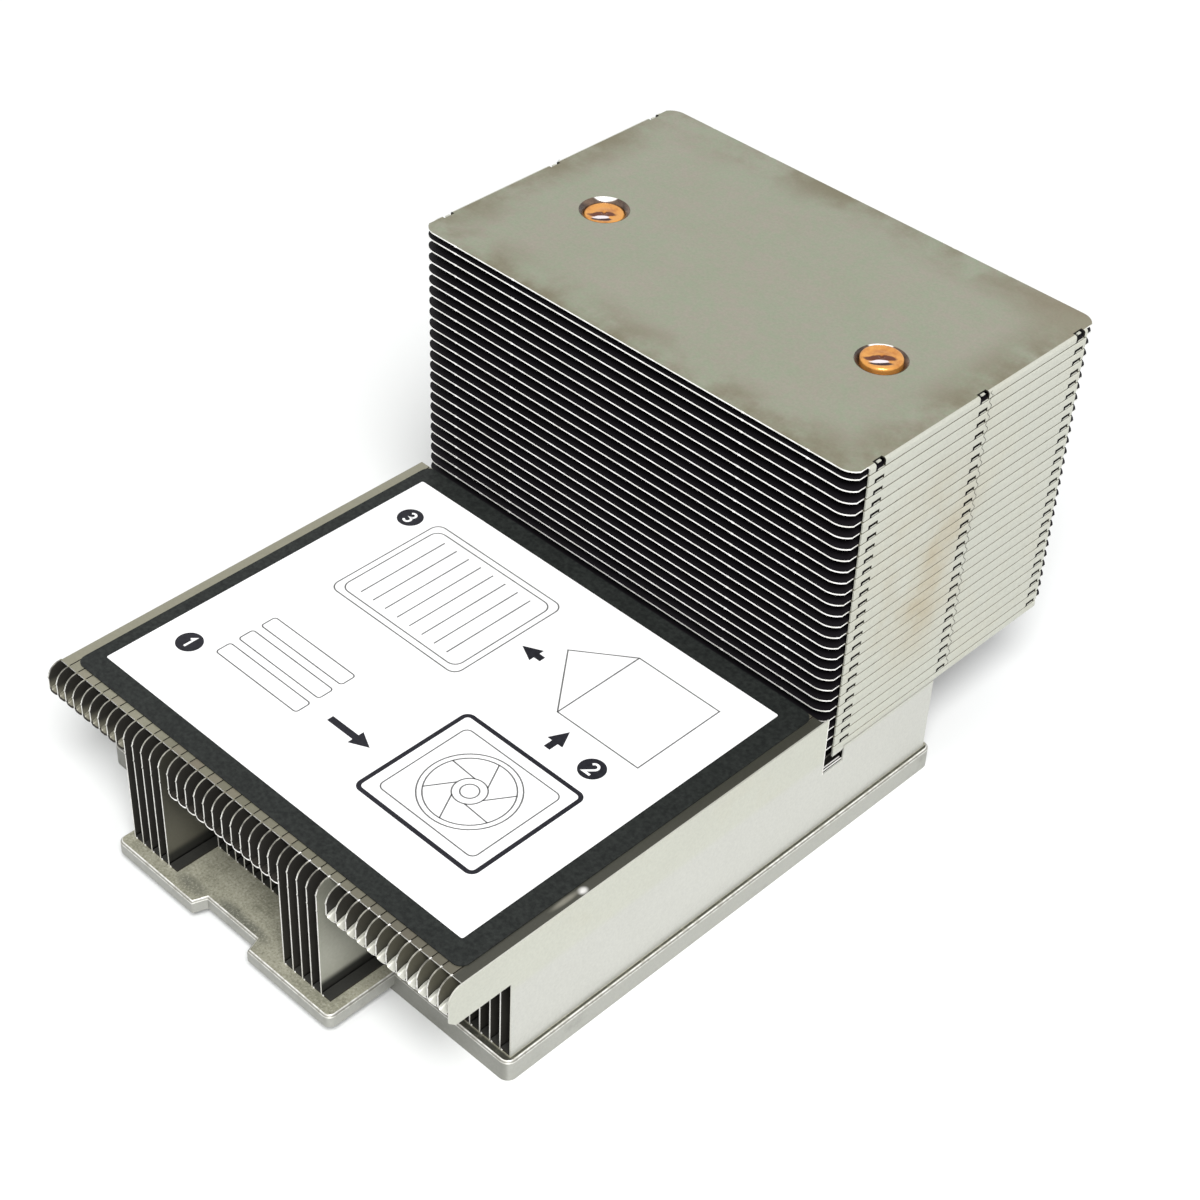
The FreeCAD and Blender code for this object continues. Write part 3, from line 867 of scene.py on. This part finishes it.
def plate_nub(build, x, y, top, side):
    """Small burr where the strip was cut, on the front or rear edge of a level fin."""
    half_length, reach = PLATE_NUB
    inset = 0.0 if side < 0 else reach
    root, tip = y - side * inset, y + side * (reach - inset)
    outline = [(x - half_length, root), (x - half_length / 2, tip), (x + half_length / 2, tip),
               (x + half_length, root)]
    build.prism(outline, level(top - SHEET, top + PLATE_NUB_RISE), 0)


def wavy_seam(build, side, high, y, foot):
    """Thin dark S-shaped joint that climbs beside the middle lock from seam to seam."""
    x = side * (high.x + WAVE_PROUD)
    rows = []
    for step in range(WAVE_STEPS + 1):
        share = step / WAVE_STEPS
        middle = y + WAVE_REACH * math.sin(math.tau * share)
        up = foot + (high.z - foot) * share
        rows.append([Vector((x, middle + offset, up)) for offset in (-WAVE_HALF_WIDTH, WAVE_HALF_WIDTH)])
    if side > 0:
        rows.reverse()
    build.grid(rows, 2)


def build_tower():
    first, *_, last = TOWER_NODES
    fins = [tower_fin(node, node == last, node == first) for node in TOWER_NODES]
    for side in PIPE_SIDES:
        mouth = pipe_axis(side)[2] + MOUTH_CLEARANCE
        bore_pipe_mouth(fins[-1], pipe_top(side), mouth)
        pipe_collar(side, pipe_top(side), mouth)


def bore_pipe_mouth(fin, centre, mouth):
    """Round hole in the top fin, wider than the pipe in it."""
    bm = bmesh.new()
    bmesh.ops.create_cone(bm, cap_ends=True, segments=MOUTH_SEGMENTS, radius1=mouth, radius2=mouth,
                          depth=MOUTH_DEPTH, matrix=Matrix.Translation(centre))
    mesh = bpy.data.meshes.new("bore")
    bm.to_mesh(mesh)
    bm.free()
    cutter = scene_object("bore", mesh)
    modifier = fin.modifiers.new("bore", "BOOLEAN")
    modifier.operation = "DIFFERENCE"
    modifier.object = cutter
    apply_modifiers(fin)
    bpy.data.objects.remove(cutter)


def pipe_collar(side, centre, mouth):
    """Collar drawn down round the pipe, with a rolled upper lip."""
    profile = [(mouth + past, up) for past, up in COLLAR_SHAPE]
    build = Build()
    build.grid(revolve_rows(centre, profile, MOUTH_SEGMENTS), lambda row, column: min(column, 1))
    smooth(build.piece("looks_pipe_collar_" + side, ["seam", "collar"]), 80)


def revolve_rows(centre, profile, segments):
    """Rows of points round an upright axis, one row for each step of the turn."""
    rows = []
    for step in range(segments + 1):
        angle = math.tau * step / segments
        rows.append([centre + Vector((r * math.cos(angle), r * math.sin(angle), z))
                     for r, z in profile])
    return rows


# ---------------- heat pipes

def pipe_cap_profile(radius, height):
    """Side view of a pipe end, from its wall over a rounded shoulder to the middle of its dome."""
    angles = [math.radians(angle) for angle in SHOULDER_ANGLES]
    shoulder = [(radius - PIPE_SHOULDER * (1 - math.cos(a)), -PIPE_SHOULDER * (1 - math.sin(a)))
                for a in angles]
    return [(radius, -height)] + shoulder + [(radius * share, up * MM) for share, up in PIPE_DOME]


def heat_pipe(side):
    """Copper tube along its bent route, closed by a low dome."""
    node = "heat_pipe_" + side
    low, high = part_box(node)
    x, axis_y, radius = pipe_axis(side)
    axis_z = low.z + radius
    route = [(Vector((x, low.y, axis_z)), 0.0)]
    for step in range(ARC_STEPS + 1):
        angle = math.radians(90 * step / ARC_STEPS)
        route.append((Vector((x, axis_y - PIPE_BEND + PIPE_BEND * math.sin(angle),
                              axis_z + PIPE_BEND - PIPE_BEND * math.cos(angle))), angle))
    build = Build()
    build.grid([tube_ring(point, angle, radius) for point, angle in route])
    cap = pipe_cap_profile(radius, high.z - axis_z - PIPE_BEND)
    build.grid(revolve_rows(Vector((x, axis_y, high.z)), cap, PIPE_SEGMENTS))
    end = tube_ring(route[0][0], 0.0, radius)[:-1]
    build.add(end, [tuple(range(len(end)))], 0)
    piece = build.piece("looks_" + node, ["copper"], "copper")
    smooth(piece, 60)
    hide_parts(node)


def tube_ring(point, angle, radius):
    """Ring of points round the pipe; the angle turns it from level to upright."""
    ring = []
    for step in range(PIPE_SEGMENTS + 1):
        turn = math.tau * step / PIPE_SEGMENTS
        across = radius * math.cos(turn)
        up = radius * math.sin(turn)
        ring.append(point + Vector((across, -up * math.sin(angle), up * math.cos(angle))))
    return ring


# ---------------- block of upright fins

def is_long(index):
    return any(first <= index < first + LONG_RUN for first in LONG_FIRST)


def is_middle(index):
    return LONG_FIRST[0] < index < LONG_FIRST[1]


def leg_setback(index):
    if is_long(index):
        return 0.0
    return MIDDLE_LEG_SETBACK if is_middle(index) else OUTER_LEG_SETBACK


def fin_rear(index):
    """Rear edge of a fin; those over a heat pipe end sooner."""
    for side in PIPE_SIDES:
        middle = pipe_axis(side)[0]
        if fin_left(index) < middle + PIPE_LANE and fin_left(index + 1) > middle - PIPE_LANE:
            return REAR - LANE_REAR
    return REAR


def lip_profile(index, lift):
    """Side view of the lip under a nose, from its rim back to the leg."""
    rim, floor = MIDDLE_LIP if is_middle(index) else OUTER_LIP
    profile = []
    for step in range(ARC_STEPS + 1):
        share = step / ARC_STEPS
        height = floor - (floor - rim) * (1 - share) ** 2
        profile.append((NOSE + LIP_REACH * share, height + lift))
    profile.append((NOSE + leg_setback(index), floor + lift))
    return profile


def fin_outline(index):
    """Side view of an upright fin, from the foot of its leg round the nose to the rear."""
    setback = leg_setback(index)
    is_end = index == FIN_COUNT - 1
    outline = [(NOSE + setback, BASE_TOP)]
    if is_end:
        outline += [(NOSE + setback, OVERHANG_HEIGHT), (NOSE + UNDER_BEVEL, OVERHANG_HEIGHT),
                    (NOSE, OVERHANG_HEIGHT + UNDER_BEVEL)]
    elif setback > 0:
        outline += lip_profile(index, LIP_RISE)[::-1]
    heights = sorted(NUB_HEIGHTS) if setback == 0 or is_middle(index) else NUB_HEIGHTS[:1]
    for height in heights:
        outline += [(NOSE, height - NUB_HALF), (NOSE - NUB_REACH, height), (NOSE, height + NUB_HALF)]
    outline += arc((NOSE + NOSE_TOP_RADIUS, BLOCK_TOP - NOSE_TOP_RADIUS), NOSE_TOP_RADIUS, 180, 90)
    if is_end:
        relief_front = TOWER_FRONT + END_SHEET_REACH
        outline.append((relief_front, BLOCK_TOP))
    else:
        under = BLOCK_TOP - FLANGE_BEND
        relief_front = TOWER_FRONT - TOP_FLANGE_GAP
        shoulder = NOSE + TOP_FLANGE_SETBACK + TILE_CORNER
        outline += [(shoulder, BLOCK_TOP), (shoulder, under), (relief_front, under)]
    relief_rear = TOWER_FRONT + RELIEF_REAR
    rear = fin_rear(index)
    outline += [(relief_front, RELIEF_FLOOR), (relief_rear, RELIEF_FLOOR),
                (relief_rear, TOWER_FOOT), (rear, TOWER_FOOT), (rear, BASE_TOP)]
    return outline


def fold_rows(index, y0, y1, height, sign):
    """Strip folded from a sheet to its neighbour: outer face up (sign 1) or down (-1)."""
    x0, x1 = fin_left(index), fin_left(index + 1)
    bend = arc((x0 + FLANGE_BEND, 0.0), FLANGE_BEND, 180, 90, BLOCK_FOLD_STEPS)
    section = [(x0, -FLANGE_BEND)] + bend + [(x1, FLANGE_BEND)]
    places = [(x, height + sign * (z - FLANGE_BEND)) for x, z in section]
    rows = [[Vector((x, y, z)) for x, z in places] for y in (y0, y1)]
    return rows if sign > 0 else [row[::-1] for row in rows]


def lip_rows(index):
    """Lip under a nose: it folds out of one sheet and rises a little to the next."""
    x0, x1 = fin_left(index) + SHEET / 2, fin_left(index + 1)
    rows = []
    for step in range(LIP_STEPS + 1):
        share = step / LIP_STEPS
        across = share * (x1 - x0)
        lift = LIP_RISE * max(0.0, 2 * share - 1) ** 2
        if across < LIP_FOLD:
            lift = LIP_FOLD - math.sqrt(LIP_FOLD ** 2 - (LIP_FOLD - across) ** 2)
        rows.append([Vector((x0 + across, y, z)) for y, z in lip_profile(index, lift)])
    return rows


# slots of the folded strips: their faces here, then as many for their inner sides and their rims
FOLDS = {"top": 0, "rear": 1, "foot": 2, "lip": 3, "shade": 4}
RIMS = 2 * len(FOLDS)
PLAIN_RIM = 3 * len(FOLDS)


def fold_materials(index):
    """Materials of the folded strips of one group of fins."""
    # lips inside: pale metal on the right group, painted shade with dark rims on the left group, darker
    # painted shade in the middle group
    lip_inside, lip_rim = "lip", "edge"
    if index < LONG_FIRST[0]:
        lip_inside, lip_rim = "lip_left_shade", "seam"
    elif is_middle(index):
        lip_inside = "seam"
    faces = ["tile", "side", "inner", "tile", "seam"]
    # the foot flanges' upper faces are dark as painted shade between the sheets
    inner = ["gap", "gap", "foot", lip_inside, "seam"]
    rims = ["nose", "seam", "seam", lip_rim, "seam"]
    return faces + inner + rims + ["seam"]


def fin_folds(build, index):
    """Outer skins of every folded strip of one fin."""
    rear = fin_rear(index)
    setback = leg_setback(index)
    for kind, y0, y1, height, sign in (
            ("top", NOSE + TOP_FLANGE_SETBACK, TOWER_FRONT - TOP_FLANGE_GAP, BLOCK_TOP, 1),
            ("rear", TOWER_FRONT + RELIEF_REAR, rear, TOWER_FOOT, 1),
            ("foot", NOSE + setback + FOOT_OVERLAP, rear, BASE_TOP, -1)):
        build.grid(fold_rows(index, y0, y1, height, sign), FOLDS[kind])

    def lip_slot(row, column):
        dark_front = index < LONG_FIRST[0] and column < 1
        return FOLDS["shade"] if dark_front else FOLDS["lip"]

    if setback > 0:
        build.grid(lip_rows(index), lip_slot)


def foot_dot(build, index):
    """Bright front corner of a foot flange, just beside the leg."""
    x0 = fin_left(index) + 2 * FOOT_DOT
    front = NOSE + leg_setback(index) + FOOT_OVERLAP
    corner = rectangle(x0, x0 + FOOT_DOT, front - FOOT_DOT / 2, front)
    build.prism(corner, level(BASE_TOP, BASE_TOP + FOOT_DOT), 3)


def block_groups():
    """Node name and fin numbers of every group, read from the places of the CAD part's nodes."""
    groups = []
    for prefix in ("short_fins_", "long_fin_"):
        for node in sorted(name for name in NODES if name.startswith(prefix)):
            first, last = (round((corner.x - BLOCK_LEFT) / FIN_PITCH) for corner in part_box(node))
            groups.append((node, range(first, last)))
    return groups


def fin_group(node, indices):
    """The upright fins of one node, with their folded strips."""
    sheets = Build()
    folds = Build()
    for index in indices:
        x = fin_left(index)
        sheets.prism(fin_outline(index), upright(x, x + SHEET), 0, 1, 2)
        fin_folds(folds, index)
        foot_dot(sheets, index)
    bare = "leg" if is_long(indices[-1]) and not is_long(indices[-1] + 1) else "inner"
    piece = sheets.piece("looks_" + node, ["inner", bare, "nose", "edge", "tile"])
    tile_front = NOSE + TOP_FLANGE_SETBACK
    # on the right group these corners are painted bright as a highlight
    corner_slot = 3 if indices[0] > LONG_FIRST[1] else 4
    repaint(piece, (2,), corner_slot, lambda face: face.normal.z > 0.9
            and face.center.z > BLOCK_TOP - SHEET
            and abs(face.center.y - tile_front) < TILE_CORNER)
    strips = folds.piece("strips", fold_materials(indices[0]))
    thicken(strips, len(FOLDS), RIMS)
    repaint(strips, (RIMS,), PLAIN_RIM, lambda face: face.center.y > tile_front + SHEET)
    repaint(strips, (RIMS + FOLDS["lip"],), PLAIN_RIM, lambda face: abs(face.normal.y) < 0.5)
    smooth(strips)
    join_into(piece, strips)
    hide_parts(node)


def end_sheet():
    """Plain sheet on the right, with the bright rim and the ledges of its relief slot."""
    index = FIN_COUNT - 1
    x = fin_left(index)
    build = Build()
    build.prism(fin_outline(index), upright(x, x + SHEET), 0, 1, 2)
    slot_front = TOWER_FRONT + END_SHEET_REACH
    rim = rectangle(slot_front - END_RIM_WIDTH, slot_front, RELIEF_FLOOR, BLOCK_TOP)
    build.prism(rim, upright(x + SHEET, x + SHEET + END_RIM_PROUD), 3)
    heights = [RELIEF_FLOOR + height for height in LEDGE_HEIGHTS]
    ledge = rectangle(slot_front + LEDGE_SETBACK, TOWER_FRONT + RELIEF_REAR, *heights)
    for right in (x, x - LEDGE_PITCH):
        build.prism(ledge, upright(right - LEDGE_WIDTH, right), 3)
    piece = build.piece("looks_end_sheet", ["inner", "side", "lip", "edge"])
    repaint(piece, (2,), 1, lambda face: face.center.y > slot_front)
    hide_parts("end_sheet")


def build_block():
    for node, indices in block_groups():
        fin_group(node, indices)
    end_sheet()


# ---------------- base plate

def dress_base():
    materials = NODES["base_plate"].data.materials
    materials.clear()
    materials.append(MATERIALS["base"])


# ---------------- label

def rounded_outline(x0, x1, y0, y1, radius, steps=6):
    corners = [((x1 - radius, y1 - radius), 0), ((x0 + radius, y1 - radius), 90),
               ((x0 + radius, y0 + radius), 180), ((x1 - radius, y0 + radius), 270)]
    outline = []
    for centre, start in corners:
        outline += arc(centre, radius, start, start + 90, steps)
    return outline


def stroke(build, path, z, slot, width=LINE_WIDTH, closed=False):
    """Flat printed line along a path of points."""
    points = [Vector(p) for p in path]
    if closed:
        points = [points[-1], *points, *points[:2]]
    else:
        points = [2 * points[0] - points[1], *points, 2 * points[-1] - points[-2]]
    rows = []
    for before, point, after in zip(points, points[1:], points[2:]):
        into = (point - before).normalized()
        along = (into + (after - point).normalized()).normalized()
        side = Vector((-along.y, along.x)) * (width / 2 / max(along.dot(into), MITRE_LIMIT))
        rows.append([Vector((*(point + side), z)), Vector((*(point - side), z))])
    build.grid(rows, slot)


def in_mm(*places):
    """Points given in millimetres."""
    return [mm(*place) for place in places]


def panel(build, z, x0, x1, y0, y1, corner, slot=3, width=LINE_WIDTH):
    """Outline with round corners, given in millimetres."""
    outline = rounded_outline(x0 * MM, x1 * MM, y0 * MM, y1 * MM, corner * MM)
    stroke(build, outline, z, slot, width, True)


def disc(build, centre, radius, z, slot):
    ring = arc(centre, radius, 0, 360, 32)[:-1]
    build.add([Vector((x, y, z)) for x, y in ring], [tuple(range(len(ring)))], slot)


def arrow(build, z, *ends):
    """Flat block arrow between two points given in millimetres."""
    tail, tip = (Vector(end) for end in in_mm(*ends))
    along = (tip - tail).normalized()
    neck = tip - along * ARROW_LENGTH * ARROW_WIDTH
    side = Vector((-along.y, along.x)) * ARROW_WIDTH
    shape = [tail - side / 2, neck - side / 2, neck - side * ARROW_SPREAD, tip,
             neck + side * ARROW_SPREAD, neck + side / 2, tail + side / 2]
    build.add([Vector((*p, z)) for p in shape], [(0, 1, 5, 6), (2, 3, 4)], 2)


# strokes of the plain digits, in a box of one unit
DIGITS = {
    1: [(-0.18, 0.25), (0.05, 0.5), (0.05, -0.5)],
    2: arc((0.0, 0.22), 0.28, 160, -35, 8) + [(-0.28, -0.5), (0.3, -0.5)],
    3: arc((-0.02, 0.25), 0.25, 150, -90, 8) + arc((-0.02, -0.25), 0.27, 90, -150, 8)[1:],
}


def numbered_disc(build, z, number, centre):
    """Dark disc with a pale digit on it; its centre is in millimetres."""
    x, y = in_mm(centre)[0]
    disc(build, (x, y), DISC_RADIUS, z, 2)
    placed = [(x + DIGIT_SIZE * u, y + DIGIT_SIZE * v) for u, v in DIGITS[number]]
    stroke(build, placed, z + PRINT_HEIGHT, 1, DIGIT_WIDTH)


def print_design(build, z):
    """Generic assembly print: grille, fan, bars, open box, arrows and numbers, in millimetres."""
    panel(build, z, -27, -1, -13, 8, 1.5)
    panel(build, z, -25.9, -2.1, -11.9, 6.9, 1.5)
    for step in range(1, 9):
        x = -25.6 + 2.55 * step
        stroke(build, in_mm((x, -10.6), (x, 5.6)), z, 3)
    panel(build, z, 6, 28, -37, -17, 1.0, 2, 0.7 * MM)
    panel(build, z, 8, 26, -35, -19, 1.0)
    hub = in_mm((17, -27))[0]
    inner, outer, twist = 2.4 * MM, 6.2 * MM, 38
    for radius in (7.0 * MM, outer, inner, 1.3 * MM):
        stroke(build, arc(hub, radius, 0, 360, 48)[:-1], z, 3, closed=True)
    for turn in range(0, 360, 60):
        blade = [arc(hub, inner, turn, turn, 1)[0], arc(hub, outer, turn + twist, turn + twist, 1)[0]]
        stroke(build, blade, z, 3)
    for rear in (-23, -27, -31):
        panel(build, z, -27, -10, rear - 2.6, rear, 0.5)
    stroke(build, in_mm((6, 2), (14, 8), (29, 8), (29, -8), (14, -8)), z, 3, closed=True)
    stroke(build, in_mm((14, 8), (14, -8)), z, 3)
    arrow(build, z, (-6, -31), (2, -31))
    arrow(build, z, (18, -14), (18, -9.6))
    arrow(build, z, (5, -2), (1, -2))
    for number, centre in ((1, (-31, -35)), (2, (25, -12.5)), (3, (-31, 6))):
        numbered_disc(build, z, number, centre)


def build_label():
    low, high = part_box("label")
    left, right, front, rear = FIELD_MARGINS
    sheet_top, field_top = high.z - 3 * PRINT_HEIGHT, high.z - 2 * PRINT_HEIGHT
    build = Build()
    sheet = rounded_outline(low.x, high.x, low.y, high.y, LABEL_CORNER)
    build.prism(sheet, level(low.z, sheet_top), 0)
    field = rounded_outline(low.x + left, high.x - right, low.y + front, high.y - rear, FIELD_CORNER)
    build.prism(field, level(sheet_top, field_top), 1)
    print_design(build, field_top + PRINT_HEIGHT)
    piece = build.piece("looks_label", ["film", "paper", "ink", "line"], "label")
    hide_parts("label")


# ---------------- stage, light and camera

def seen_directly(paint):
    """1 for rays from the camera and for mirror and glass rays."""
    rays = paint.node("LightPath", {})
    either = paint.maths("MAXIMUM", rays["Is Camera Ray"], rays["Is Glossy Ray"])
    return paint.maths("MAXIMUM", either, rays["Is Transmission Ray"])


def build_floor():
    """White floor, which glows in the distance where it is seen directly."""
    mesh = bpy.data.meshes.new("floor")
    corners = rectangle(-FLOOR_HALF, FLOOR_HALF, -FLOOR_HALF, FLOOR_HALF)
    mesh.from_pydata([(x, y, 0) for x, y in corners], [], [(0, 1, 2, 3)])
    floor = scene_object("floor", mesh)
    floor.location.z = -FLOOR_DROP
    paint = new_paint("floor_white")
    glow = paint.fade(paint.length(paint.place()), *GLOW_DISTANCES, *GLOW_STRENGTHS)
    mesh.materials.append(paint.finish(
        Base_Color=rgba(FLOOR_COLOUR), Roughness=0.8, Emission_Color=rgba(WHITE),
        Emission_Strength=paint.times(seen_directly(paint), glow)))
    floor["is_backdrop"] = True


def build_world():
    world = bpy.data.worlds.new("studio")
    bpy.context.scene.world = world
    paint = Paint(world, "Background")
    low, high = WORLD_STRENGTHS
    strength = paint.node("MapRange", {"Value": seen_directly(paint), "To Min": low, "To Max": high})
    paint.finish(Color=rgba(WHITE), Strength=strength["Result"])


def build_lamp():
    """Large soft lamp over the viewer's right shoulder."""
    lamp = bpy.data.lights.new("key", "AREA")
    lamp.shape = "DISK"
    lamp.size = KEY_SIZE
    lamp.energy = KEY_POWER
    holder = scene_object("key", lamp)
    holder.location = KEY_PLACE
    direction = Vector(KEY_AIM) - Vector(KEY_PLACE)
    holder.rotation_euler = direction.to_track_quat("-Z", "Y").to_euler()


def build_camera():
    azimuth, tilt, roll = map(math.radians, (CAMERA_AZIMUTH, 90 - CAMERA_ELEVATION, CAMERA_ROLL))
    data = bpy.data.cameras.new("camera")
    data.lens = CAMERA_LENS
    data.clip_start = CAMERA_CLIP
    camera = scene_object("camera", data)
    camera.matrix_world = (Matrix.Translation(CAMERA_PLACE) @ Matrix.Rotation(azimuth, 4, "Z")
                           @ Matrix.Rotation(tilt, 4, "X") @ Matrix.Rotation(roll, 4, "Z"))
    bpy.context.scene.camera = camera


# ---------------- the whole scene

MATERIALS = {
    "side": side_metal(),
    "plate": plate_metal(),
    "tile": tile_metal(),
    "leg": leg_metal(),
    "inner": inner_metal(),
    # the lip is the plain pale sheet; the foot, joint and left-lip tones are painted shade
    "lip": sheet_metal("fin_lip", (0.62, 0.62, 0.56), (0.42, 0.41, 0.34), 0.5),
    "foot": sheet_metal("fin_foot_shade", (0.045, 0.045, 0.04), (0.08, 0.08, 0.065), 0.5),
    "base": base_metal(),
    "gap": dark_metal("fin_gap", (0.004, 0.0032, 0.0045), (0.008, 0.0065, 0.0085)),
    "joint": sheet_metal("fin_joint_shade", (0.19, 0.18, 0.135), (0.13, 0.12, 0.085), 0.6),
    "nose": nose_edge(),
    "lip_left_shade": sheet_metal("lip_left_shade", (0.26, 0.25, 0.195), (0.18, 0.17, 0.12), 0.5),
    "seam": dark_metal("fin_seam", (0.020, 0.018, 0.015), (0.035, 0.031, 0.026)),
    "edge": cut_edge(),
    "collar": collar_metal(),
    "copper": copper(),
    "film": film("label_film", (0.024, 0.027, 0.025), (0.010, 0.0115, 0.011), 0.5),
    "paper": film("label_paper", grey(0.96), grey(0.93), 0.5),
    "ink": film("label_ink", (0.020, 0.020, 0.026), (0.012, 0.012, 0.016), 0.45),
    "line": film("label_line", grey(0.17), grey(0.12), 0.5),
}

build_tower()
for pipe_side in PIPE_SIDES:
    heat_pipe(pipe_side)
build_block()
dress_base()
build_label()
build_floor()
build_world()
build_lamp()
build_camera()
bpy.context.scene.view_settings.view_transform = "Standard"

boxes = {"cad": CAD_BOUNDS, "visual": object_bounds()}
{key: [list(corner) for corner in value] for key, value in boxes.items()}
